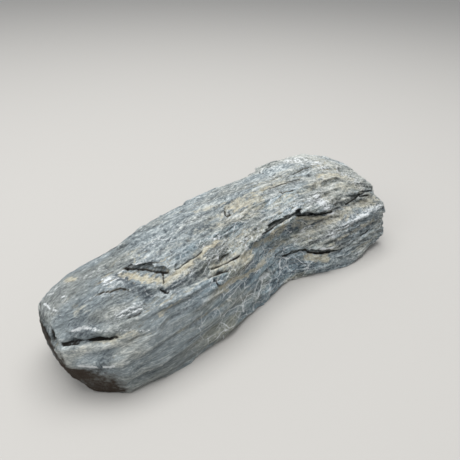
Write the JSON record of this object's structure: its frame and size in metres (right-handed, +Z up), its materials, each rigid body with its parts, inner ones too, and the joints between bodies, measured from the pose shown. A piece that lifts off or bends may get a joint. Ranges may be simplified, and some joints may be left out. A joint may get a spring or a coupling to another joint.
{
  "type": "dragon stone",
  "caption": "Long natural slab of foliated grey rock with ledges, cracks and clay-filled hollows, lying flat as hardscape in a planted tank.",
  "frame": {"origin": "middle of the flat base, under the middle of the stone's box", "axes": "+X along the stone towards its broad end, -Y the side with the ledges, +Z up"},
  "size_m": [0.3316, 0.1306, 0.085],
  "materials": {
    "rock": "rough, foliated, with pale veins and tan clay in the hollows"
  },
  "bodies": {
    "root": {"stone": "rock"}
  },
  "joints": []
}
